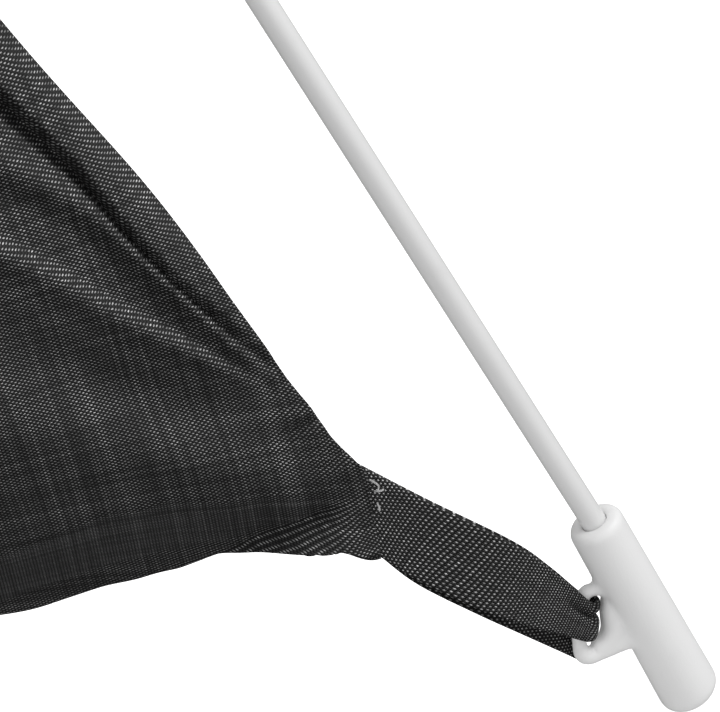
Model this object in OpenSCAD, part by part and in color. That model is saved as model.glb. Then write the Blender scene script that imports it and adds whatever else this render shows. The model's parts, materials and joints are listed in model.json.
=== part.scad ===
// Roundnet set: a round net in a tube ring on four folding rod legs, with
// fabric panels on two sides that webbing loops tie to moulded eyes on the feet.
// Origin: on the ground under the centre of the net. +Z is up.

/* [Ring] */
// Radius of the ring, to the middle of its tube
ring_r = 400; // [370:5:430]
// Height of the middle of the ring tube above the ground
ring_h = 280; // [260:5:310]
// Outside diameter of the ring tube
ring_d = 18; // [16:0.5:20]
// Wall of the ring tube
ring_wall = 2; // [1:0.1:3]
// Wall of the brackets around the ring tube
bracket_wall = 2.6; // [2:0.1:4]
// Length of a bracket along the ring
bracket_len = 63; // [50:1:75]

/* [Legs] */
// Slope of a leg from the ground, in degrees
leg_tilt = 60; // [56:1:66]
// Diameter of the leg rod
rod_d = 6.4; // [5.5:0.1:8]
// Distance from the ring's tube middle to the pivot pin, along the leg
pivot_drop = 26; // [25:0.5:32]
// Diameter of the pivot pin
pin_d = 5; // [4:0.1:6]
// Thickness of the tongue that turns between the bracket's ears
tongue_t = 8; // [7:0.5:11]
// Thickness of each ear
ear_t = 4; // [3:0.5:5]
// Length of the socket that takes the top of the rod
socket_len = 34; // [26:1:44]

/* [Feet] */
// Diameter of a foot
foot_d = 14.5; // [13:0.5:18]
// Length of a foot
foot_len = 62; // [58:1:72]
// Round on the closed lower end of a foot
foot_round = 4; // [2:0.5:6]
// Depth of the hole that takes the rod
foot_bore = 44; // [36:1:50]
// Distance from a foot's lower end to the middle of its eye
eye_pos = 38; // [36:1:42]
// Distance between the roots of an eye's two arms
eye_span = 22; // [20:0.5:24]
// Distance from the foot's axis to the lower corner of an eye
eye_reach = 21.5; // [20:0.5:23]
// Distance from the foot's axis to the upper corner of an eye
eye_top_reach = 10; // [9:0.5:12]
// Thickness of an eye's bar and arms
eye_d = 4.5; // [4:0.25:5.5]

/* [Net] */
// Distance from the ring tube's middle to the outer edge of the net
net_inset = 38; // [36:1:50]
// Distance between neighbouring strands of the net
net_pitch = 44; // [42:1:60]
// Width of a strand
strand_w = 2.4; // [1.5:0.1:4]
// Thickness of a strand
strand_t = 1.8; // [1:0.1:2.5]
// Width of the folded band around the net
band_w = 14; // [12:1:20]
// Width of a hook
hook_w = 14; // [12:1:18]
// Wall of a hook
hook_wall = 3; // [2:0.25:4]
// Diameter of a hook's bar
hook_bar_d = 4; // [3:0.25:5]

/* [Panels and webbing] */
// Thickness of a side panel
panel_t = 1.5; // [1:0.1:2]
// Distance from a leg's axis to a panel's side edge, at the webbing
panel_gap = 40; // [36:1:46]
// How much further the edge keeps from the leg for each mm of height
edge_lean = 0.08; // [0:0.01:0.12]
// Height of a panel's lower hem in the middle of a side
hem_h = 80; // [72:1:95]
// Height of a panel's lower corners
corner_h = 68; // [60:1:74]
// Depth of the folds in a panel
fold_depth = 4; // [1:0.5:5]
// How far the lower hem curls inwards
hem_curl = 7; // [3:0.5:9]
// Width of the webbing
web_w = 22; // [18:1:24]
// Thickness of one layer of webbing
web_t = 1.5; // [1:0.1:1.8]

/* [Ball] */
// Diameter of the ball
ball_d = 90; // [80:1:100]

/* [Hidden] */

legs = 4;
panels = 2;            // on opposite sides, each between two legs
fit = 0.05;            // radial clearance of a sliding fit
gap = 0.3;             // clearance between pieces that only lie close
$fn = 48;

ring_az = 360 / legs;                   // angle from one leg to the next
first_leg = -ring_az / 2;               // leg 1, at the right of panel 1
foot_r = ring_r + ring_h / tan(leg_tilt);   // where a leg's axis meets the ground
leg_len = ring_h / sin(leg_tilt);       // ground to ring, along the leg
pivot_s = leg_len - pivot_drop;         // pivot, along the leg from the ground
eye_az = atan2(cos(ring_az / 2), -sin(ring_az / 2) * sin(leg_tilt));

// The foot's rounded end touches the ground
foot_s = (foot_round + (foot_d / 2 - foot_round) * cos(leg_tilt)) / sin(leg_tilt)
         - foot_round;
eye_s = foot_s + eye_pos;
rod_s = foot_s + foot_len - foot_bore;  // lower end of the rod
tongue_r = 8;                           // round end of the tongue and ears
socket_r = rod_d / 2 + fit + 3.2;       // outside of the rod socket
socket_top = pivot_s - tongue_r - 4;    // top of the socket's round part
rod_top = socket_top - 2;

bore_r = ring_d / 2 + fit;
sleeve_r = bore_r + bracket_wall;
bracket_deg = bracket_len / ring_r * 180 / PI;
tube_stop = 2;                          // rib between two tube ends

net_r = ring_r - net_inset;             // outer edge of the net's band
flap_t = 1;                             // each layer of the folded band
band_t = strand_t + 2 * fit + 2 * flap_t;
hooks_per_side = 6;
hook_step = ring_az / hooks_per_side;
loops_per_side = 5;
loop_first = ring_az / 8;                // first panel loop, from a leg
loop_step = (ring_az - 2 * loop_first) / (loops_per_side - 1);
bar_x = -(ring_d / 2 + gap + hook_wall + 9);   // hook bar, from the tube's middle
tab_w = hook_w - 4;

panel_top = ring_h - ring_d / 2 - 9;    // top edge of a panel
panel_flat = panel_top - web_w;         // above this a panel follows the ring
panel_cols = 40;
panel_rows = 10;
fold_pitch = 46;                        // from one fold to the next
fold_fade = 60;                         // run in which the folds die away

// A leg's axis and a side wall's plane at height z, in the wall's own frame
half_az = ring_az / 2;
function leg_x(z) = (foot_r - z / tan(leg_tilt)) * sin(half_az);
function wall_y(z) = (foot_r - z / tan(leg_tilt)) * cos(half_az);
leg_up = [-cos(leg_tilt) * sin(half_az), -cos(leg_tilt) * cos(half_az), sin(leg_tilt)];
wall_along = unit([-1, 0, 0] - ([-1, 0, 0] * leg_up) * leg_up);
function unit(v) = v / norm(v);
// Point of the wall plane as [distance from the leg's axis, distance up the leg]
function from_leg(x, z) = let (d = [x - leg_x(0), wall_y(z) - wall_y(0), z])
    [d * wall_along, d * leg_up];

side_inset = -panel_gap / wall_along[0];  // along the wall at one height
corner_top_h = corner_h + web_w * 1.1;  // top of the edge that the strap is sewn to
corner_x = leg_x(corner_top_h) - side_inset;
corner_part = 0.12;                     // share of a panel's rows in that edge
corner_low = from_leg(corner_x, corner_h);
corner_top = from_leg(corner_x, corner_top_h);

// The eye's lower root, lower corner, upper corner and upper root about its middle,
// as [distance from the leg's axis, distance up the leg]
eye_path = [[0, -eye_span / 2], [eye_reach, -eye_span * 0.26],
            [eye_top_reach, eye_span * 0.4], [0, eye_span / 2]];
eye_bend = eye_d / 2 + 1.25;            // to the middle of the bar, at a corner
eye_swell = eye_d + gap;                // a corner is a little thicker than the bar
bar_dir = unit(eye_path[2] - eye_path[1]);
bar_in = [-bar_dir[1], bar_dir[0]];     // from the bar towards the foot
bar_mid = (eye_path[1] + eye_path[2]) / 2 + [0, eye_s];
strap_vec = (corner_low + corner_top) / 2 - bar_mid;
strap_len = norm(strap_vec);
strap_dir = strap_vec / strap_len;
strap_az = atan2(strap_vec[0], strap_vec[1]);

// ---------- frames of reference ----------

// Stands at the ground end of leg k, with z up the leg and x outward
module at_leg(k) {
    rotate([0, 0, first_leg + ring_az * (k - 1)])
        translate([foot_r, 0, 0])
            rotate([0, leg_tilt - 90, 0]) children();
}

// Turns leg k's frame so that x lies in the plane of its side panel
module in_wall(k) {
    if (k % 2 == 0) rotate([0, 0, eye_az]) children();
    else mirror([0, 1, 0]) rotate([0, 0, eye_az]) children();
}

// Turns to side panel k: x along the panel, y outward
module at_wall(k) {
    rotate([0, 0, 360 / panels * k]) children();
}

// Ring arc of a 2D section, drawn about the tube's middle
module ring_arc(from, to) {
    rotate([0, 0, from]) rotate_extrude(angle = to - from, $fn = 180)
        translate([ring_r, ring_h]) children();
}

// ---------- ring ----------

module ring_tube(k) {
    start = first_leg + ring_az * (k - 2);
    half_stop = (tube_stop / 2 + gap) / ring_r * 180 / PI;
    color("whitesmoke")
        ring_arc(start + half_stop, start + ring_az - half_stop)
            difference() {
                circle(d = ring_d);
                circle(d = ring_d - 2 * ring_wall);
            }
}

// Round tongue or ear outline: x outward, z up the leg, about the pivot
module lug(reach, thick) {
    rotate([90, 0, 0]) translate([0, 0, -thick / 2]) linear_extrude(thick) {
        circle(r = tongue_r);
        translate([-tongue_r, min(reach, 0)])
            square([2 * tongue_r, abs(reach)]);
    }
}

module ring_bracket(k) {
    az = first_leg + ring_az * (k - 1);
    rib = tube_stop / ring_r * 180 / PI;
    ear_y = tongue_t / 2 + gap + ear_t / 2;
    web_x = tongue_r + gap;
    color("whitesmoke") difference() {
        union() {
            ring_arc(az - bracket_deg / 2, az + bracket_deg / 2) circle(r = sleeve_r);
            at_leg(k) translate([0, 0, pivot_s]) {
                for (side = [-1, 1])
                    translate([0, side * ear_y, 0]) lug(pivot_drop, ear_t);
                // wall behind the tongue, which stops the leg
                translate([web_x, -ear_y - ear_t / 2, -tongue_r])
                    cube([2.5, 2 * ear_y + ear_t, pivot_drop + tongue_r - 4]);
                // ears reach the stop wall
                for (side = [-1, 1])
                    translate([0, side * ear_y - ear_t / 2, -tongue_r])
                        cube([web_x + 1, ear_t, pivot_drop + tongue_r - 4]);
            }
        }
        for (end = [-1, 1])
            ring_arc(end > 0 ? az + rib / 2 : az - bracket_deg,
                     end > 0 ? az + bracket_deg : az - rib / 2)
                circle(r = bore_r);
        at_leg(k) translate([0, 0, pivot_s])
            rotate([90, 0, 0])
                cylinder(h = 3 * ear_y, r = pin_d / 2 + fit, center = true);
    }
}

module pivot_pin(k) {
    ear_out = tongue_t / 2 + gap + ear_t;
    head_t = 1.8;
    color("silver") at_leg(k) translate([0, 0, pivot_s]) rotate([90, 0, 0]) {
        cylinder(h = 2 * (ear_out + fit) + 2 * head_t - 1, d = pin_d, center = true);
        for (end = [0, 1]) mirror([0, 0, end])
            translate([0, 0, ear_out + fit]) rotate_extrude()
                polygon([[0, 0], [pin_d * 0.85, 0], [pin_d * 0.85, head_t * 0.5],
                         [pin_d * 0.6, head_t], [0, head_t]]);
    }
}

// ---------- legs ----------

module leg_knuckle(k) {
    socket_bottom = socket_top - socket_len;
    color("whitesmoke") at_leg(k) difference() {
        union() {
            translate([0, 0, pivot_s]) lug(-(pivot_s - socket_top) - 3, tongue_t);
            rotate_extrude() polygon([
                [0, socket_bottom], [socket_r - 1, socket_bottom],
                [socket_r, socket_bottom + 1], [socket_r, socket_top - 2],
                [tongue_t / 2, socket_top + 1], [0, socket_top + 1]]);
        }
        translate([0, 0, pivot_s]) rotate([90, 0, 0])
            cylinder(h = 2 * tongue_t, r = pin_d / 2 + fit, center = true);
        translate([0, 0, socket_bottom - 1])
            cylinder(h = rod_top - socket_bottom + 1.3, r = rod_d / 2 + fit);
    }
}

module leg_rod(k) {
    color("white") at_leg(k) translate([0, 0, rod_s])
        cylinder(h = rod_top - rod_s, d = rod_d);
}

// Side view of the foot's wall, closed and rounded at the bottom
module foot_profile() {
    r = foot_d / 2;
    rim = 1.2;
    square([r - foot_round, foot_len]);
    translate([0, foot_round]) square([r, foot_len - foot_round - rim]);
    translate([0, foot_round]) square([r - rim, foot_len - foot_round]);
    translate([r - foot_round, foot_round]) intersection() {
        circle(r = foot_round);
        translate([0, -foot_round]) square(foot_round);
    }
    translate([r - rim, foot_len - rim]) intersection() {
        circle(r = rim);
        square(rim);
    }
}

// Direction of the eye's run i, in degrees, and how far its bend cuts corner i
function eye_turn(i) = let (d = eye_path[i + 1] - eye_path[i]) atan2(d[1], d[0]);
function eye_cut(i) = eye_bend * tan((eye_turn(i) - eye_turn(i - 1)) / 2);

// Eye in the x-z plane, about its own middle
module eye() {
    lip = gap;                  // a run ends inside the bend's thicker corner
    rotate([90, 0, 0]) {
        for (i = [0:2]) let (from = i > 0 ? eye_cut(i) - lip : 0,
                             to = i < 2 ? eye_cut(i + 1) - lip : 0)
            translate(eye_path[i]) rotate([0, 0, eye_turn(i)]) rotate([0, 90, 0])
                translate([0, 0, from])
                    cylinder(h = norm(eye_path[i + 1] - eye_path[i]) - from - to, d = eye_d);
        for (i = [1, 2]) translate(eye_path[i]) rotate([0, 0, eye_turn(i - 1)])
            translate([-eye_cut(i), eye_bend]) rotate([0, 0, -90])
                rotate_extrude(angle = eye_turn(i) - eye_turn(i - 1))
                    translate([eye_bend, 0]) circle(d = eye_swell);
        // flares where the arms leave the foot
        for (i = [0, 3]) translate(eye_path[i])
            rotate([0, 0, i > 0 ? eye_turn(2) + 180 : eye_turn(0)]) rotate([0, 90, 0])
                translate([0, 0, foot_d / 2 - 1.5])
                    cylinder(h = 3, r1 = eye_d / 2 + 1.2, r2 = eye_d / 2);
    }
}

module foot(k) {
    color("whitesmoke") at_leg(k) difference() {
        union() {
            translate([0, 0, foot_s]) rotate_extrude() foot_profile();
            in_wall(k) translate([0, 0, eye_s]) eye();
        }
        translate([0, 0, rod_s - gap])
            cylinder(h = foot_bore + 2, r = rod_d / 2 + fit);
    }
}

// ---------- webbing loops at the feet ----------

// Webbing loop of leg k, in the leg's wall frame: x along the wall, y inward,
// z up the leg. One ribbon runs from the panel's corner to the eye, round the
// eye's bar and back. Each station is [low edge, top edge, y, normal].
module strap(k) {
    fold_r = eye_d / 2 + gap + web_t / 2;
    lap = 12;
    lap_y = panel_t / 2 + gap + web_t / 2;
    layer_gap = 0.1;
    eye_low = eye_path[1] + [0, eye_s] + (eye_cut(1) + gap) * bar_dir;
    eye_top = eye_path[2] + [0, eye_s] - (eye_d / 2 + gap + web_t) * bar_dir;
    across = [strap_dir[1], -strap_dir[0]];
    // f is 0 at the bar and 1 at the panel's edge
    function spread(f) = web_w * 0.22 * smooth(0, 0.25, f) * (1 - smooth(0.3, 1, f));
    function low(f) = eye_low + (corner_low - eye_low) * min(f, 1)
        + spread(f) * across + (f > 1 ? lap * strap_dir : [0, 0]);
    function top(f) = eye_top + (corner_top - eye_top) * min(f, 1)
        - spread(f) * across + (f > 1 ? lap * strap_dir : [0, 0]);
    function layer(f, from, to) = from + (to - from) * smooth(0.22, 0.78, f);
    run = [1.2, 1, 0.8, 0.65, 0.5, 0.35, 0.22, 0.1];
    turns = 8;
    stations = concat(
        [for (f = run) [low(f), top(f), layer(f, -fold_r, lap_y), [0, -1]]],
        [for (n = [0:turns]) let (a = 180 * n / turns, w = fold_r * sin(a) * bar_in)
            [eye_low + w, eye_top + w, -fold_r * cos(a), [sin(a), -cos(a)]]],
        [for (n = [len(run) - 1:-1:0]) let (f = run[n])
            [low(f), top(f), layer(f, fold_r, lap_y + web_t + layer_gap), [0, 1]]]);
    function corner(st, edge, face) = let (d = face * web_t / 2 * st[3],
        at = st[edge] + d[0] * bar_in) [at[0], st[2] + d[1], at[1]];
    points = [for (st = stations, c = [[0, 1], [1, 1], [1, -1], [0, -1]])
        corner(st, c[0], c[1])];
    last = 4 * (len(stations) - 1);
    faces = concat([[2, 1, 0], [3, 2, 0]],
        [for (i = [0:4:last - 4], c = [0:3], f = [0, 1]) let (d = (c + 1) % 4)
            f == 0 ? [i + c, i + d, i + 4 + d] : [i + c, i + 4 + d, i + 4 + c]],
        [[last, last + 1, last + 2], [last, last + 2, last + 3]]);
    color("dimgray") at_leg(k) in_wall(k) polyhedron(points, faces);
}

// ---------- side panels ----------

// Points of a panel's middle surface; u runs from -1 to 1, v from 0 to 1
function panel_side_z(v) = v < corner_part
    ? corner_h + (corner_top_h - corner_h) * v / corner_part
    : corner_top_h + (panel_top - corner_top_h) * (v - corner_part) / (1 - corner_part);
function panel_mid_z(v) = hem_h + (panel_top - hem_h) * v;
function panel_z(u, v) = let (f = pow(abs(u), 8))
    panel_mid_z(v) * (1 - f) + panel_side_z(v) * f;
function panel_x(u, z) = let (h = min(z, panel_flat))
    u * min(corner_x, leg_x(h) - side_inset - edge_lean * max(0, h - corner_top_h));
function top_y(u) = sqrt(ring_r * ring_r - pow(u * panel_x(1, panel_flat), 2));
function sheet_y(u, z) = let (b = min(1, (z - hem_h) / (panel_flat - hem_h)))
    b < 0 ? wall_y(z) : (1 - b) * wall_y(hem_h) + b * top_y(u);
function smooth(a, b, t) = let (k = min(1, max(0, (t - a) / (b - a))))
    k * k * (3 - 2 * k);
// Folds run down beside the side edges and fade at the ring and the corner
function fold(e, z) = fold_depth * (sin(360 * e / fold_pitch) * exp(-e / fold_fade))
    * smooth(corner_top_h + fold_fade / 3, panel_flat - fold_fade * 2 / 3, z)
    * (1 - smooth(panel_flat - fold_fade / 2, panel_flat, z));
// The hem curls inward between the corners
function curl(u, v) = -hem_curl * max(0, 1 - v * panel_rows)
    * (1 - smooth(0.78, 0.94, abs(u)));
function panel_point(u, v, side) = let (z = panel_z(u, v), x = panel_x(u, z),
    e = panel_x(1, z) - abs(x))
    [x, sheet_y(u, z) + fold(e, z) + curl(u, v) + side * panel_t / 2, z];

module side_panel(k) {
    nu = panel_cols + 1;
    nv = panel_rows + 1;
    half = nu * nv;
    grid = [for (side = [-1, 1], j = [0:panel_rows], i = [0:panel_cols])
        panel_point(2 * i / panel_cols - 1, j / panel_rows, side)];
    function at(i, j) = j * nu + i;
    faces = concat(
        [for (j = [0:panel_rows - 1], i = [0:panel_cols - 1], f = [0, 1])
            f == 0 ? [at(i, j), at(i + 1, j), at(i + 1, j + 1)]
                   : [at(i, j), at(i + 1, j + 1), at(i, j + 1)]],
        [for (j = [0:panel_rows - 1], i = [0:panel_cols - 1], f = [0, 1])
            f == 0 ? [half + at(i, j), half + at(i + 1, j + 1), half + at(i + 1, j)]
                   : [half + at(i, j), half + at(i, j + 1), half + at(i + 1, j + 1)]],
        [for (i = [0:panel_cols - 1], f = [0, 1])
            f == 0 ? [at(i, 0), half + at(i, 0), half + at(i + 1, 0)]
                   : [at(i, 0), half + at(i + 1, 0), at(i + 1, 0)]],
        [for (i = [0:panel_cols - 1], f = [0, 1]) let (j = panel_rows)
            f == 0 ? [at(i, j), half + at(i + 1, j), half + at(i, j)]
                   : [at(i, j), at(i + 1, j), half + at(i + 1, j)]],
        [for (j = [0:panel_rows - 1], f = [0, 1])
            f == 0 ? [at(0, j), half + at(0, j + 1), half + at(0, j)]
                   : [at(0, j), at(0, j + 1), half + at(0, j + 1)]],
        [for (j = [0:panel_rows - 1], f = [0, 1]) let (i = panel_cols)
            f == 0 ? [at(i, j), half + at(i, j), half + at(i, j + 1)]
                   : [at(i, j), half + at(i, j + 1), at(i, j + 1)]]);
    color("#2b2b2e") at_wall(k) polyhedron(grid, faces);
}

// Webbing loops that hang the panels from the ring
module panel_loops() {
    in_r = ring_d / 2 + gap;
    tail_in = panel_t / 2 + gap;
    tail_end = panel_top - 12 - ring_h;
    deg = web_w / ring_r * 180 / PI;
    color("dimgray") for (k = [1:panels], n = [0:loops_per_side - 1]) {
        az = 90 + 360 / panels * k - half_az + loop_first + loop_step * n;
        ring_arc(az - deg / 2, az + deg / 2) difference() {
            union() {
                circle(r = in_r + web_t);
                translate([-tail_in - web_t, tail_end])
                    square([2 * (tail_in + web_t), -tail_end]);
            }
            circle(r = in_r);
            translate([-tail_in, tail_end - 1])
                square([2 * tail_in, panel_top + gap - ring_h - tail_end + 1]);
        }
    }
}

// ---------- net ----------

module round_net() {
    reach = floor((net_r - 6) / net_pitch) * net_pitch;
    color("#1f1f22") translate([0, 0, ring_h - strand_t / 2])
        linear_extrude(strand_t) intersection() {
            circle(r = net_r - flap_t - gap, $fn = 180);
            union() {
                difference() {
                    circle(r = net_r, $fn = 180);
                    circle(r = net_r - band_w + 2, $fn = 180);
                }
                for (p = [-reach:net_pitch:reach]) {
                    translate([p, 0]) square([strand_w, 2 * net_r], center = true);
                    translate([0, p]) square([2 * net_r, strand_w], center = true);
                }
            }
        }
}

// Tape folded over the edge of the net
module net_band() {
    color("dimgray") translate([0, 0, ring_h]) rotate_extrude($fn = 180)
        difference() {
            translate([net_r - band_w, -band_t / 2]) square([band_w, band_t]);
            translate([net_r - band_w - 1, -strand_t / 2 - fit])
                square([band_w + 1 - flap_t, strand_t + 2 * fit]);
        }
}

// Runs its children at every hook: x outward, z up, about the tube's middle
module at_hooks() {
    for (n = [0:legs * hooks_per_side - 1])
        rotate([0, 0, first_leg + hook_step * (n + 0.5)])
            translate([ring_r, 0, ring_h]) children();
}

// Webbing tabs, sewn over the band and looped round the hooks' bars
module net_tabs() {
    bar_r = hook_bar_d / 2 + gap;
    in_y = max(band_t / 2 + gap, bar_r);
    tip = bar_x + net_inset;
    color("dimgray") at_hooks() rotate([90, 0, 0])
        linear_extrude(tab_w, center = true) difference() {
            union() {
                translate([bar_x, 0]) circle(r = in_y + web_t);
                translate([-net_inset - band_w + 2, -in_y - web_t])
                    square([bar_x + net_inset + band_w - 2, 2 * (in_y + web_t)]);
            }
            translate([bar_x, 0]) circle(r = in_y);
            translate([-net_inset - band_w, -in_y])
                square([bar_x + net_inset + band_w, 2 * in_y]);
        }
}

// Moulded hooks that clip over the ring tube
module net_hooks() {
    in_r = ring_d / 2 + gap;
    out_r = in_r + hook_wall;
    window = tab_w + 2 * gap;
    color("white") at_hooks() difference() {
        rotate([90, 0, 0]) linear_extrude(hook_w, center = true) {
            difference() {
                union() {
                    circle(r = out_r);
                    // arm to the bar
                    translate([bar_x, -hook_wall / 2])
                        square([-bar_x - in_r, hook_wall]);
                    translate([bar_x, 0]) circle(d = hook_bar_d);
                }
                circle(r = in_r);
                // mouth, below the tube
                polygon([[0, 0], [-2.2 * out_r, -1.6 * out_r],
                         [-2.2 * out_r, -3 * out_r],
                         [3 * out_r, -3 * out_r], [3 * out_r, -0.9 * out_r]]);
            }
        }
        // window that the tab passes through
        translate([bar_x + hook_bar_d / 2, -window / 2, -out_r])
            cube([-bar_x - hook_bar_d / 2 - out_r - 1, window, 2 * out_r]);
        for (side = [-1, 1])
            translate([bar_x - hook_bar_d, side > 0 ? window / 2 : -window / 2 - hook_w,
                       hook_bar_d])
                cube([hook_bar_d, hook_w, hook_bar_d]);
    }
}

// ---------- ball ----------

module ball() {
    color("gold")
        translate([2 * net_pitch, -net_pitch, ring_h + strand_t / 2 + gap + ball_d / 2])
            sphere(d = ball_d, $fn = 96);
}

ring_tube(1);  // ring_tube_1
ring_tube(2);  // ring_tube_2
ring_tube(3);  // ring_tube_3
ring_tube(4);  // ring_tube_4
ring_bracket(1);  // ring_bracket_1
ring_bracket(2);  // ring_bracket_2
ring_bracket(3);  // ring_bracket_3
ring_bracket(4);  // ring_bracket_4
pivot_pin(1);  // pivot_pin_1
pivot_pin(2);  // pivot_pin_2
pivot_pin(3);  // pivot_pin_3
pivot_pin(4);  // pivot_pin_4
leg_knuckle(1);  // leg_knuckle_1
leg_knuckle(2);  // leg_knuckle_2
leg_knuckle(3);  // leg_knuckle_3
leg_knuckle(4);  // leg_knuckle_4
leg_rod(1);  // leg_rod_1
leg_rod(2);  // leg_rod_2
leg_rod(3);  // leg_rod_3
leg_rod(4);  // leg_rod_4
foot(1);  // foot_1
foot(2);  // foot_2
foot(3);  // foot_3
foot(4);  // foot_4
strap(4);  // strap_1_left
strap(1);  // strap_1_right
strap(2);  // strap_2_left
strap(3);  // strap_2_right
side_panel(1);  // side_panel_1
side_panel(2);  // side_panel_2
panel_loops();
round_net();
net_band();
net_tabs();
net_hooks();
ball();
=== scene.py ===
"""Roundnet set: finishes and soft goods around the set's rigid frame.

A round net hangs in a tube ring on four folding rod legs. Fabric panels close two
opposite sides, and webbing loops tie their lower corners to moulded eyes on the feet.
All lengths are in metres, in the frame of the solids, with the ground at height 0.
"""

import json
import logging
import math
from dataclasses import dataclass
from enum import Enum
from itertools import accumulate
from typing import Callable, Sequence

import bmesh
import bpy
from mathutils import Matrix, Vector

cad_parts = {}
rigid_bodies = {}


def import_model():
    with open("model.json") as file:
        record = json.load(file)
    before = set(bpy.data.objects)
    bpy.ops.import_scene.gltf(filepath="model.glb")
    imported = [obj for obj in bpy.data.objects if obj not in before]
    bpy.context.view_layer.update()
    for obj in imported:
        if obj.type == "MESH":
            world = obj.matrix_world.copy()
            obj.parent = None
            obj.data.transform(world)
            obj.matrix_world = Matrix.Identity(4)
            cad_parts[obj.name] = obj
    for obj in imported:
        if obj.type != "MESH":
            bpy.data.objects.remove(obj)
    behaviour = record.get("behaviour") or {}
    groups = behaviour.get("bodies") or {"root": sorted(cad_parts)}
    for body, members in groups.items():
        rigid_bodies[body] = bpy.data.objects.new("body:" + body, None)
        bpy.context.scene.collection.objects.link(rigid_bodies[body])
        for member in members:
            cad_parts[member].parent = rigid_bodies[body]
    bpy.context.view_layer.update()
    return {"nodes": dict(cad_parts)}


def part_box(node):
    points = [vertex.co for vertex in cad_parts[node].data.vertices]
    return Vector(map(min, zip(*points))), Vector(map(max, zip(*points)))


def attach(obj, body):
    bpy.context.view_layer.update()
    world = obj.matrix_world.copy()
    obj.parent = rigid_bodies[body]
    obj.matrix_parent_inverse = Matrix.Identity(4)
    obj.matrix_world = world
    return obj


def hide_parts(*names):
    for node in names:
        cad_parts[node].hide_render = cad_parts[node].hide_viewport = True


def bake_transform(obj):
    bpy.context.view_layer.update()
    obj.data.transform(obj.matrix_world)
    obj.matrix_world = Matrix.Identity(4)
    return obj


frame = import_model()

LOG = logging.getLogger("roundnet")
MM = 0.001
TURN = 2 * math.pi
LEG_NUMBERS = (1, 2, 3, 4)
FLAT = "flat"  # name of a woven piece's own coordinates, in metres

Mesh = bmesh.types.BMesh
Piece = bpy.types.Object
Socket = bpy.types.NodeSocket
Colour = tuple[float, float, float, float]
Run = tuple[tuple[float, float], ...]
Placed = tuple[Vector, tuple[float, float]]  # a point, and its flat place on a sheet
Place = Callable[[float, float], Placed]


class Slot(Enum):
    """Names of the record's material slots; no piece here takes its finish from them."""
    MOULDED = "white_plastic"
    WEBBING = "webbing"
    CLOTH = "oxford_cloth"
    CORD = "net_cord"
    RUBBER = "ball_rubber"


class Side(Enum):
    """The two halves of a side panel, seen from outside the set."""
    LEFT = "left"
    RIGHT = "right"


# ---- small helpers

def smooth(low: float, high: float, value: float) -> float:
    """Rise softly from 0 at low to 1 at high.

    Args:
        low: Where the rise starts.
        high: Where the rise ends.
        value: Where it is read.

    Returns:
        A number from 0 to 1.
    """
    k = min(1.0, max(0.0, (value - low) / (high - low)))
    return k * k * (3 - 2 * k)


def bezier(a: Vector, b: Vector, c: Vector, d: Vector, share: float) -> Vector:
    """Return the point at a share of the curve from a to d that b and c pull."""
    ab, bc, cd = a.lerp(b, share), b.lerp(c, share), c.lerp(d, share)
    return ab.lerp(bc, share).lerp(bc.lerp(cd, share), share)


def along(stations: Sequence[tuple[float, float]], at: float, ease: bool = True) -> float:
    """Return the value at a place between stations, each a place and its value.

    Args:
        stations: Places in rising order, each with its value.
        at: The place that is asked for.
        ease: True to ease from value to value, and False to follow straight lines, which
            also go on beyond both ends.
    """
    last = len(stations) - 1
    i = next((n for n in range(1, last) if at <= stations[n][0]), last)
    (a, low), (b, high) = stations[i - 1], stations[i]
    return mix(low, high, smooth(a, b, at) if ease else (at - a) / (b - a))


def through(points: list[Vector], share: float) -> Vector:
    """Return the point at a share of the smooth curve that goes through some points."""
    at = min(max(share, 0.0), 1.0) * (len(points) - 1)
    i = min(int(at), len(points) - 2)
    start, end = points[i], points[i + 1]
    before = points[i - 1] if i else start * 2 - end
    after = points[i + 2] if i + 2 < len(points) else end * 2 - start
    third = (end - before) / 6, (after - start) / 6
    return bezier(start, start + third[0], end - third[1], end, at - i)


def mix(a: float, b: float, share: float) -> float:
    """Return the value that lies share of the way from a to b."""
    return a + (b - a) * share


def arc(middle: tuple[float, float], radius: float, start: float, end: float,
        steps: int) -> list[tuple[float, float]]:
    """Return the points of a flat arc, with both its ends.

    Args:
        middle: Middle of its circle.
        radius: Radius of its circle.
        start: Angle of its first point, in radians.
        end: Angle of its last point.
        steps: Number of equal steps from the first point to the last.
    """
    turns = [mix(start, end, n / steps) for n in range(steps + 1)]
    return [(middle[0] + radius * math.cos(a), middle[1] + radius * math.sin(a))
            for a in turns]


def on_circle(radius: float, angle: float, height: float) -> Vector:
    """Return a point of a level circle about the set's middle."""
    return Vector((radius * math.cos(angle), radius * math.sin(angle), height))


def reaches(path: Sequence[Sequence[float]]) -> list[float]:
    """Return how far along a path each of its points is."""
    return [0.0, *accumulate(math.dist(a, b) for a, b in zip(path, path[1:]))]


def make_piece(name: str, mesh: Mesh, finish: bpy.types.Material,
               outward: bool = True) -> Piece:
    """Turn a bmesh into a smooth-shaded piece with one finish.

    Args:
        name: Name of the piece.
        mesh: The bmesh, which is freed.
        finish: Its material.
        outward: Whether the normals of a closed shape are made to point outwards.

    Returns:
        The new object, at the origin.
    """
    if outward:
        bmesh.ops.recalc_face_normals(mesh, faces=mesh.faces)
    for face in mesh.faces:
        face.smooth = True
    data = bpy.data.meshes.new(name)
    mesh.to_mesh(data)
    mesh.free()
    piece = bpy.data.objects.new(name, data)
    bpy.context.scene.collection.objects.link(piece)
    data.materials.append(finish)
    return piece


def report(piece: Piece, note: str) -> None:
    """Log a finished piece with its number of faces."""
    LOG.info("%s: %s, %d faces", piece.name, note, len(piece.data.polygons))


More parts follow.
